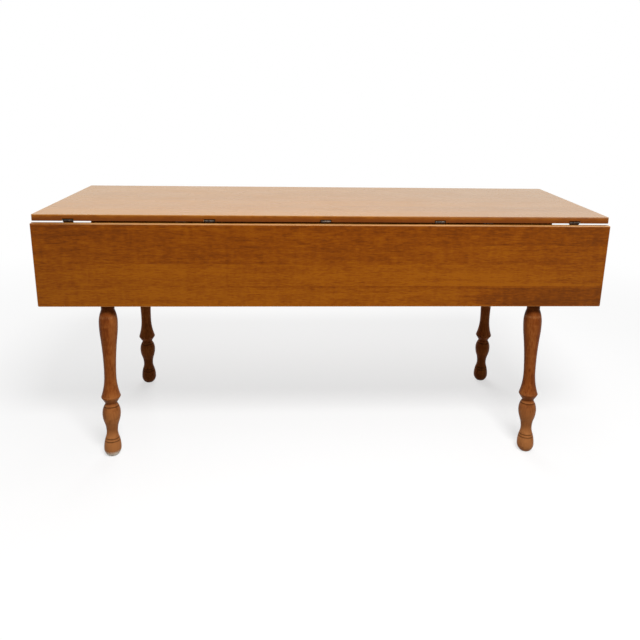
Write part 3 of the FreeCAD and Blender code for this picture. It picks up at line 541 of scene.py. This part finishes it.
def ogee(wide, narrow, swell, rising):
    """Two arcs from a widest to a narrowest place, or back: a round one over the swell's share and a hollow
    one over the rest."""
    whole = sweep_radius(wide, narrow)
    middle = np.array(wide) + (np.array(narrow) - np.array(wide)) * swell
    if rising:
        return [arc(wide, middle, whole * swell, 1), arc(middle, narrow, whole * (1 - swell), -1)]
    return [arc(narrow, middle, whole * (1 - swell), -1), arc(middle, wide, whole * swell, 1)]


def rounded(corner, before, after, radius):
    """Points on the small arc that softens a corner. It touches the lines to the points before and after,
    at the radius times the tangent of half the turn from the corner."""
    corner = np.array(corner)
    back, on = (np.array(end) - corner for end in (before, after))
    back, on = back / np.hypot(*back), on / np.hypot(*on)
    reach = radius * math.tan((math.pi - math.acos(back @ on)) / 2)
    return arc(corner + reach * back, corner + reach * on, radius, 1, count=LIP_POINTS)


sole_radius = FOOT[0] - FOOT_UNDER + math.sqrt(FOOT_UNDER ** 2 - (FOOT[1] + FOOT_TRIM) ** 2)
trumpet = arc(FLARE, SHAFT, sweep_radius(FLARE, SHAFT), -1)
profile = np.concatenate([
    arc((sole_radius, -FOOT_TRIM), FOOT, FOOT_UNDER, 1), *ogee(FOOT, ANKLE, FOOT_SWELL, True),
    *ogee(BULB, ANKLE, BULB_SWELL, False), arc(BULB, WAIST, sweep_radius(BULB, WAIST), 1),
    rounded(FLARE, WAIST, trumpet[1], LIP_ROUND), trumpet[1:], *ogee(VASE, SHAFT, VASE_SWELL, False),
    arc(VASE, NECK, sweep_radius(VASE, NECK), 1), arc(NECK, COLLAR, sweep_radius(COLLAR, NECK), -1),
    arc(COLLAR, BEAD_TOP, BEAD_RADIUS, 1), [SPINDLE]])
print("profile:", len(profile), "points, widest", round(profile[:, 0].max(), 1), "mm")

# %% [markdown]
# The rings are cut with the corner of a chisel, so each is a small V in the radius. Rows of the grid are
# added across each V and where the square post begins, so that these stay crisp. The same rows say where
# stain gathers, in and beside the rings, where old polish stays, in the hollows that a duster doesn't
# reach, and where hands and dusters rub, on the shoulders and the lip.

# %% The leg's rows: height, radius, stain, painted shade in the hollows, and rubbing with a painted highlight
RINGS = np.array((49.0, 57.0, 160.0))
RING_DEPTH, RING_HALF, STAIN_HALF = 1.2, 1.2, 2.4
RING_REACH, RING_ROWS = 1.4, 15
# Hollows that take painted shade: above the ankle, at the waist under the lip, and at the neck under the
# leaf.
HOLLOWS = np.array((88.0, 172.0, 474.0))
HOLLOW_HALF = np.array((24.0, 8.0, 30.0))
HOLLOW_SHARE = np.array((0.45, 0.80, 1.00))
# Rubbed places that also carry a painted highlight: above the bulb's ring, the lip and the vase's shoulder.
SHOULDERS = np.array((164.0, 194.0, 444.0))
RUB_HALF = np.array((4.0, 4.5, 15.0))
POST_START, POST_END, POST_HALF, POST_ARRIS = 560.0, 752.0, 30.0, 1.2
SLOPE_RISE, SLOPE_ROWS, PLAIN_RISE, PLAIN_ROWS = 14.0, 22, 20.0, 24


def nearness(heights, places, half):
    """For every height and place, 1 where they meet, falling evenly to 0 at half to either side."""
    return np.clip(1 - np.abs(heights[:, None] - places) / half, 0, 1)


ring_rows = (RINGS[:, None] + RING_HALF * np.linspace(-RING_REACH, RING_REACH, RING_ROWS)).ravel()
row_height = np.unique(np.round(np.concatenate((profile[:, 1], ring_rows)), 3))
row_radius = np.interp(row_height, profile[:, 1], profile[:, 0])
row_radius = row_radius - RING_DEPTH * nearness(row_height, RINGS, RING_HALF).max(axis=1)
row_marks = {"stain": nearness(row_height, RINGS, STAIN_HALF).max(axis=1),
             "hollow_shade": (HOLLOW_SHARE * nearness(row_height, HOLLOWS, HOLLOW_HALF)).max(axis=1),
             "rub_and_highlight": nearness(row_height, SHOULDERS, RUB_HALF).max(axis=1)}
post_height = np.concatenate((POST_START + np.linspace(0, SLOPE_RISE, SLOPE_ROWS),
                              np.linspace(POST_START + PLAIN_RISE, POST_END, PLAIN_ROWS)))
print("rows:", len(row_height), "turned and", len(post_height), "square")

# %% The leg's surface
COLUMNS, CORNER_REACH, CORNER_COLUMNS = 96, 2.2, 7


def square_radius(angle, half, corner):
    """Distance from the middle to the outline of a square with rounded corners, in the direction of an
    angle: half over the cosine on a flat, and the far crossing of the corner's circle near a diagonal."""
    folded = np.abs((angle + math.pi / 4) % (math.pi / 2) - math.pi / 4)
    core = half - corner
    flat = half / np.cos(folded)
    inner = np.maximum(corner ** 2 - core ** 2 * (1 - np.sin(2 * folded)), 0)
    curved = core * (np.cos(folded) + np.sin(folded)) + np.sqrt(inner)
    return np.where(half * np.tan(folded) <= core, flat, curved)


corner_steps = np.radians(np.linspace(-CORNER_REACH, CORNER_REACH, CORNER_COLUMNS))
diagonals = math.pi / 4 + math.pi / 2 * np.arange(4)
around = np.concatenate((np.linspace(0, 2 * math.pi, COLUMNS, endpoint=False),
                         (diagonals[:, None] + corner_steps).ravel()))
around = np.unique(np.round(around, 6))
turned = np.repeat(row_radius[:, None], len(around), axis=1)
slope = POST_HALF + post_height - POST_START
post = np.minimum(square_radius(around, POST_HALF, POST_ARRIS)[None, :], slope[:, None])
leg_radius = np.concatenate((turned, post)) * MM
leg_height = np.concatenate((row_height, post_height)) * MM
leg_marks = {name: np.concatenate((rows, np.zeros(len(post_height)))) for name, rows in row_marks.items()}
print("leg grid:", leg_radius.shape)

# %% [markdown]
# The grid becomes a mesh by joining each point to its neighbours, with the last column joined to the
# first and a point closing each end. Each leg then leans by its rake, and the floor and the underside of
# the top cut it level. Four numbers stay on every point for the finish: how stained it is, how much
# painted shade it takes in the hollows, how rubbed and highlit it is, and how near the sole of the foot.
# The pale sole of the front left foot, partly wear and partly a painted highlight, reaches highest.

# %% Build the four legs
RAKE = math.radians(2.75)
LEG_X, LEG_Y, UNDERSIDE = 0.6495, 0.257, 0.743
# The front left foot's pale sole, partly wear and partly a painted highlight, reaches highest.
SOLE_REACH, WORN_AND_LIT_SOLE_REACH = 0.005, 0.026
CREASE = math.radians(38)


def closed_grid(name, points):
    """A closed mesh from rows of points round an axis: four neighbours make a face, and a middle point
    closes the first and the last row."""
    rows, columns = points.shape[:2]
    index = np.arange(rows * columns).reshape(rows, columns)
    nextward = np.roll(index, -1, axis=1)
    sides = np.stack((index[:-1], nextward[:-1], nextward[1:], index[1:]), axis=-1).reshape(-1, 4)
    low_end, high_end = rows * columns, rows * columns + 1
    bottom = np.stack((np.full(columns, low_end), nextward[0], index[0]), axis=-1)
    lid = np.stack((np.full(columns, high_end), index[-1], nextward[-1]), axis=-1)
    corners = np.concatenate((points.reshape(-1, 3), points[0].mean(0)[None], points[-1].mean(0)[None]))
    mesh = bpy.data.meshes.new(name)
    mesh.from_pydata(corners.tolist(), [], sides.tolist() + bottom.tolist() + lid.tolist())
    mesh.polygons.foreach_set("use_smooth", np.ones(len(mesh.polygons), dtype=bool))
    mesh.set_sharp_from_angle(angle=CREASE)
    made = bpy.data.objects.new(name, mesh)
    scene.collection.objects.link(made)
    return made


def mark(mesh, name, values):
    """Keep one number on every point of a mesh."""
    mesh.attributes.new(name, "FLOAT", "POINT").data.foreach_set("value", values.astype(np.float32))


legs = []
for side, way in (("front", -1), ("rear", 1)):
    for hand, across in (("left", -1), ("right", 1)):
        x = across * LEG_X + leg_radius * np.cos(around)
        outward = leg_radius * np.sin(around)
        y = way * LEG_Y + outward * math.cos(RAKE) - way * leg_height[:, None] * math.sin(RAKE)
        z = way * outward * math.sin(RAKE) + leg_height[:, None] * math.cos(RAKE)
        z = np.clip(z, 0.0, UNDERSIDE)
        leg = closed_grid(f"turned_leg_{side}_{hand}", np.stack((x, y, z), axis=-1))
        reach = WORN_AND_LIT_SOLE_REACH if (way, across) == (-1, -1) else SOLE_REACH
        for name, rows in leg_marks.items():
            mark(leg.data, name, np.append(np.repeat(rows, len(around)), (0, 0)))
        mark(leg.data, "sole", np.append(np.clip(1 - z.ravel() / reach, 0, 1), (1, 0)))
        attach(leg, "frame")
        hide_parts(f"leg_{side}_{hand}")
        legs.append(leg)
print("legs:", [leg.name for leg in legs], len(legs[0].data.polygons), "faces each")

# %% [markdown]
# ## The legs' finish
# On a leg the grain stands upright and the maple pattern is solid, so the streaks open into ovals on the
# swells as they do on a lathe. Stain gathers in the rings, painted shade darkens the hollows, and old
# polish lies in blotches. The lower turnings of the front legs are painted lighter, as light falls there,
# and the soles are rubbed pale, partly as wear and partly as a painted highlight.

# %% Dress the legs
LEG_COLOURS = ((0.130, 0.026, 0.0055, 1.0), (0.220, 0.055, 0.0105, 1.0), (0.32, 0.101, 0.0230, 1.0))
# Colours in order: rubbed places with their painted highlight, painted light on the lower front legs,
# painted shade in the hollows with old-polish blotches, the rings' stain, and the sole, pale from wear and
# a painted highlight.
LEG_WORN_AND_LIT, PAINTED_LOWER_LIGHT = (0.52, 0.26, 0.11, 1.0), (0.49, 0.204, 0.0700, 1.0)
SHADE_AND_POLISH_BROWN, RING_STAIN = (0.095, 0.018, 0.0034, 1.0), (0.040, 0.009, 0.0016, 1.0)
PALE_SOLE_AND_HIGHLIGHT = (0.86, 0.77, 0.64, 1.0)
BROKEN_STRETCH, BLOTCH_STRETCH = (330.0, 330.0, 210.0), (42.0, 42.0, 30.0)
RUB_RANGE, RUB_SHARE = (0.25, 0.75), 0.40
LOW_DOWN, IN_FRONT, LOWER_LIGHT_LIFT, LOWER_LIGHT_SHARE = (0.24, 0.06), (0.20, -0.20), 0.25, 0.55
HOLLOW_SHADE_LEAST, BLOTCH_RANGE, BLOTCH_SHARE = 0.4, (0.50, 0.70), 0.42
SOLE_RANGE, STAIN_SHARE = (0.08, 0.34), 0.85

leg_finish, tree, shader = new_material("leg_maple")
seen = own_place(tree)
parts = apart(tree, seen)
place = joined(tree, parts["Z"], parts["X"], parts["Y"])
sole, rub_and_highlight, stain, hollow_shade = (add(tree, "ShaderNodeAttribute", attribute_name=name).outputs["Fac"]
                            for name in ("sole", "rub_and_highlight", "stain", "hollow_shade"))
broken = stretched_noise(tree, seen, BROKEN_STRETCH, detail=3.0, rough=0.6)
blotch = stretched_noise(tree, seen, BLOTCH_STRETCH, detail=4.0, rough=0.6)
# Rubbed wear and painted highlight on the shoulders and the lip.
wear_and_highlight = times(tree, fade(tree, times(tree, rub_and_highlight, broken), *RUB_RANGE), RUB_SHARE)
# Painted light: the lower turnings of the front legs are lighter.
lit_lower = times(tree, fade(tree, parts["Z"], *LOW_DOWN), fade(tree, parts["Y"], *IN_FRONT))
dress_maple(tree, shader, place, wear_and_highlight, LEG_COLOURS, LEG_WORN_AND_LIT, board=0.5, spread=0.25, streak=0.6, curl=0.30,
            fleck=0.2, dullness=0.38, lift=times(tree, lit_lower, LOWER_LIGHT_LIFT), ior=1.16)
# Painted shade in the hollows, broken by blotches of old polish, in one dark brown.
hollow_shade = times(tree, hollow_shade, work(tree, "ADD", blotch, HOLLOW_SHADE_LEAST))
blotches = times(tree, fade(tree, blotch, *BLOTCH_RANGE), BLOTCH_SHARE)
repaint(tree, shader, times(tree, lit_lower, LOWER_LIGHT_SHARE), PAINTED_LOWER_LIGHT)
repaint(tree, shader, work(tree, "MAXIMUM", hollow_shade, blotches), SHADE_AND_POLISH_BROWN)
# The pale sole is partly rubbed wear and partly a painted highlight.
repaint(tree, shader, fade(tree, times(tree, sole, broken), *SOLE_RANGE), PALE_SOLE_AND_HIGHLIGHT)
repaint(tree, shader, times(tree, stain, STAIN_SHARE), RING_STAIN)
for leg in legs:
    leg.data.materials.append(leg_finish)
print("legs dressed:", len(tree.nodes), "nodes")

# %% [markdown]
# ## The aprons
# The aprons are the boards under the top that tie the legs together. They have the same lacquer, with
# less light and less wear. The long ones have their grain along X and the end ones along Y, so two
# materials share the recipe, and each says in which order the pattern reads the coordinates.

# %% Dress the aprons
APRONS = {"long": ("XZY", ("apron_front", "apron_rear")), "end": ("YZX", ("apron_left", "apron_right"))}
for kind, (order, members) in APRONS.items():
    apron_finish, tree, shader = new_material(f"{kind}_apron_maple")
    parts = apart(tree, own_place(tree))
    place = joined(tree, *(parts[axis] for axis in order))
    dress_maple(tree, shader, place, 0.0, AMBERS, LIGHT_AMBER, board=0.35, spread=0.2, streak=0.6, curl=0.2,
                dullness=0.42)
    dress(members, apron_finish)
print("aprons dressed:", sorted(APRONS))

# %% [markdown]
# ## Bare wood underneath
# The corner blocks, cross rails and slide guides are never seen in use, so a maker planes them and leaves
# them bare: paler, dry and a little dusty. The same maple pattern serves, with paler colours and no
# lacquer.

# %% Dress the bare wood
BARE_STARTS = ("corner_block_front", "corner_block_rear", "cross_rail_left", "cross_rail_right",
               "slide_guide_")
BARE_COLOURS = ((0.30, 0.16, 0.065, 1.0), (0.42, 0.25, 0.115, 1.0), (0.52, 0.34, 0.18, 1.0))
BARE_ROUGHNESS, FIBRE_ROUGHNESS, PLANED_DEPTH = 0.62, 0.3, 0.15 * MM

bare_wood, tree, shader = new_material("bare_wood")
parts = apart(tree, own_place(tree))
place = joined(tree, parts["Y"], parts["X"], parts["Z"])
grain = use_group(tree, maple, {"Place": place, "Board Width": 0.4, "Board Spread": 0.3, "Streak": 0.8,
                                "Curl": 0.1})
tree.links.new(amber_ramp(tree, grain["Tone"], BARE_COLOURS), shader.inputs["Base Color"])
dusty = work(tree, "ADD", BARE_ROUGHNESS, centred(tree, grain["Fibre"], FIBRE_ROUGHNESS))
tree.links.new(dusty, shader.inputs["Roughness"])
planed = add(tree, "ShaderNodeBump", {"Height": grain["Fibre"], "Distance": PLANED_DEPTH, "Strength": 1.0})
tree.links.new(planed.outputs["Normal"], shader.inputs["Normal"])
bare = [name for name in nodes if name.startswith(BARE_STARTS)]
dress(bare, bare_wood)
print("bare wood:", len(bare), "pieces")

# %% [markdown]
# ## Hinges, slides and screws
# The hinges are steel with a dark oxide finish, rubbed brighter in places; the screws have dulled to a
# brown-grey, and the slide bars are dark drawn steel, streaked along their length. One group mixes a
# clean and a tarnished colour with a noise and roughens the tarnish, and each metal gives it its own
# colours.

# %% The dulled metal
SPOT_STRETCH, LINE_STRETCH = (180.0, 180.0, 180.0), (900.0, 14.0, 900.0)
COVER_REACH, TARNISH_RANGE = 0.8, (0.35, 0.68)
CLEAN_ROUGHNESS, TARNISH_ROUGHNESS, LINE_ROUGHNESS = 0.20, 0.25, 0.3
METAL_COVER = 0.55
METALS = {
    "hinge_metal": (("hinge_top_plate", "hinge_leaf_plate", "hinge_pins"),
                    (0.110, 0.082, 0.066, 1.0), (0.030, 0.021, 0.016, 1.0)),
    "screw_metal": (("hinge_top_screws", "hinge_leaf_screws", "guide_screws", "corner_block_screws",
                     "cross_rail_screws"), (0.34, 0.29, 0.23, 1.0), (0.10, 0.075, 0.055, 1.0)),
    "slide_bar_steel": (("leaf_slide", "slide_peg"),
                        (0.100, 0.090, 0.080, 1.0), (0.034, 0.029, 0.025, 1.0))}

metal, given, result = new_group(
    "dulled_metal",
    {"Place": ("Vector", None), "Clean": ("Color", (0.5, 0.5, 0.5, 1.0)),
     "Tarnish": ("Color", (0.2, 0.2, 0.2, 1.0)), "Cover": ("Float", 0.5)},
    {"Color": "Color", "Roughness": "Float"})
spots = stretched_noise(metal, given["Place"], SPOT_STRETCH, detail=4.0, rough=0.65)
lines = stretched_noise(metal, given["Place"], LINE_STRETCH)
share = work(metal, "ADD", spots, centred(metal, given["Cover"], COVER_REACH))
share = fade(metal, share, *TARNISH_RANGE)
rough = work(metal, "ADD", times(metal, share, TARNISH_ROUGHNESS), times(metal, lines, LINE_ROUGHNESS))
metal.links.new(mixed(metal, share, given["Clean"], given["Tarnish"]), result.inputs["Color"])
metal.links.new(work(metal, "ADD", rough, CLEAN_ROUGHNESS), result.inputs["Roughness"])
for finish, (starts, clean, tarnish) in METALS.items():
    made, tree, shader = new_material(finish)
    look = use_group(tree, metal, {"Place": own_place(tree), "Clean": clean, "Tarnish": tarnish,
                                   "Cover": METAL_COVER})
    tree.links.new(look["Color"], shader.inputs["Base Color"])
    tree.links.new(look["Roughness"], shader.inputs["Roughness"])
    shader.inputs["Metallic"].default_value = 1.0
    members = [name for name in nodes if name.startswith(starts)]
    dress(members, made)
    print(finish, "on", len(members), "pieces")

# %% [markdown]
# ## The studio
# The photograph shows the table against plain white. The floor is a pale disc that takes the table's soft
# shadow and fades into the white of the world with distance, so there is no horizon. To the lights it is
# a mid-grey floor, which keeps the legs from being lit from below, and to the camera and to mirrors it is
# white.

# %% The floor
FLOOR_RADIUS, FLOOR_SIDES = 9.0, 96
FADE_START, FADE_END, FLOOR_GLOW = 1.2, 3.0, 0.62
FLOOR_LIT, FLOOR_SEEN = (0.40, 0.39, 0.38, 1.0), (0.96, 0.96, 0.96, 1.0)


def seen_directly(tree):
    """1 for the camera, for mirrors and for clear things, and 0 for light that falls on other things."""
    paths = add(tree, "ShaderNodeLightPath").outputs
    indirect = work(tree, "MAXIMUM", paths["Is Glossy Ray"], paths["Is Transmission Ray"])
    return work(tree, "MAXIMUM", paths["Is Camera Ray"], indirect)


floor_around = np.linspace(0, 2 * math.pi, FLOOR_SIDES, endpoint=False)
floor_rim = FLOOR_RADIUS * np.stack((np.cos(floor_around), np.sin(floor_around), 0 * floor_around), axis=-1)
floor_mesh = bpy.data.meshes.new("studio_floor")
floor_mesh.from_pydata(floor_rim.tolist(), [], [list(range(FLOOR_SIDES))])
floor = bpy.data.objects.new("studio_floor", floor_mesh)
scene.collection.objects.link(floor)

studio_white, tree, shader = new_material("studio_white")
seen_white = seen_directly(tree)
matt = add(tree, "ShaderNodeBsdfDiffuse", {"Color": mixed(tree, seen_white, FLOOR_LIT, FLOOR_SEEN)})
glow = add(tree, "ShaderNodeEmission", {"Color": WHITE, "Strength": 1.0})
distance = add(tree, "ShaderNodeVectorMath", {0: own_place(tree)}, operation="LENGTH").outputs["Value"]
glowing = add(tree, "ShaderNodeMapRange", {"Value": fade(tree, distance, FADE_START, FADE_END),
                                           "To Min": FLOOR_GLOW}).outputs["Result"]
away = add(tree, "ShaderNodeMixShader", {0: times(tree, glowing, seen_white), 1: matt.outputs[0],
                                         2: glow.outputs[0]})
tree.nodes.remove(shader)
tree.links.new(away.outputs[0], tree.nodes["Material Output"].inputs["Surface"])
floor_mesh.materials.append(studio_white)
print("floor radius:", FLOOR_RADIUS)

# %% [markdown]
# The light is plain: a broad soft box in front and above, a second one overhead for the top, a weak one
# that fills the back, and an even glow from the world that fills the shadows. A lamp behind a lacquered
# top would glare in it, so the one at the back lights the wood but isn't mirrored. The world is white to
# the camera and to mirrors, as the floor is, and gentler as a light, so that the colours come out about
# as they are written. Each box is given by its place, the point that it faces, its two sides and its
# power in watts.

# %% Lights and world
AMBIENT = 0.18
SOFT_BOXES = {"front_box": ((0.45, -2.20, 3.1), (0.0, -0.25, 0.45), (1.2, 0.8), 108.0),
              "overhead_box": ((0.2, -0.2, 3.3), (0.0, 0.0, 0.7), (3.0, 2.0), 30.0),
              "back_box": ((-0.3, 2.80, 2.3), (0.0, 0.25, 0.45), (2.0, 1.2), 42.0)}


def soft_box(name, place, target, size, power):
    """A rectangular area light at a place, facing a target."""
    light = bpy.data.lights.new(name, "AREA")
    light.shape = "RECTANGLE"
    light.size, light.size_y = size
    light.energy = power
    made = bpy.data.objects.new(name, light)
    facing = (Vector(target) - Vector(place)).to_track_quat("-Z", "Y").to_matrix().to_4x4()
    made.matrix_world = Matrix.Translation(place) @ facing
    scene.collection.objects.link(made)
    return made


boxes = {name: soft_box(name, *values) for name, values in SOFT_BOXES.items()}
boxes["back_box"].visible_glossy = False

world = bpy.data.worlds.new("studio_world")
world.use_nodes = True
scene.world = world
tree = world.node_tree
strength = add(tree, "ShaderNodeMix", {"Factor": seen_directly(tree), "A": AMBIENT, "B": 1.0})
backdrop = tree.nodes["Background"]
backdrop.inputs["Color"].default_value = WHITE
tree.links.new(strength.outputs["Result"], backdrop.inputs["Strength"])
print("lights:", sorted(boxes))
